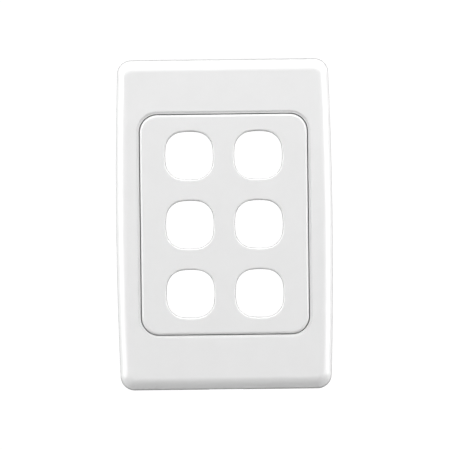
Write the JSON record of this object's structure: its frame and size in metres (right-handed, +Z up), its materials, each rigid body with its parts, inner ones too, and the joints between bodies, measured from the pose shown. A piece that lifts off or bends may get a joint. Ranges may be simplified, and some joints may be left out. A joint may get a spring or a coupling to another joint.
{
  "type": "grid switch plate",
  "caption": "Upright white grid switch plate: a surround with bowed sides and a rolled edge pushes on over a grid moulding with cushion-shaped openings for clip-in mechanisms.",
  "frame": {"origin": "centre of the plate on the wall plane, midway between the two fixing holes", "axes": "+Z up the wall, +X to the right seen from the front, +Y into the wall; the front faces -Y"},
  "size_m": [0.076, 0.009, 0.116],
  "materials": {
    "grid_plastic": "moulded satin gloss",
    "surround_plastic": "moulded satin gloss"
  },
  "bodies": {
    "grid": {"grid_plate": "grid_plastic"},
    "cover": {"surround": "surround_plastic"}
  },
  "joints": [
    {"name": "surround_unclip", "type": "slide", "parent": "grid", "child": "cover", "axis": [0, -1, 0], "range_m": [0, 0.015]}
  ]
}
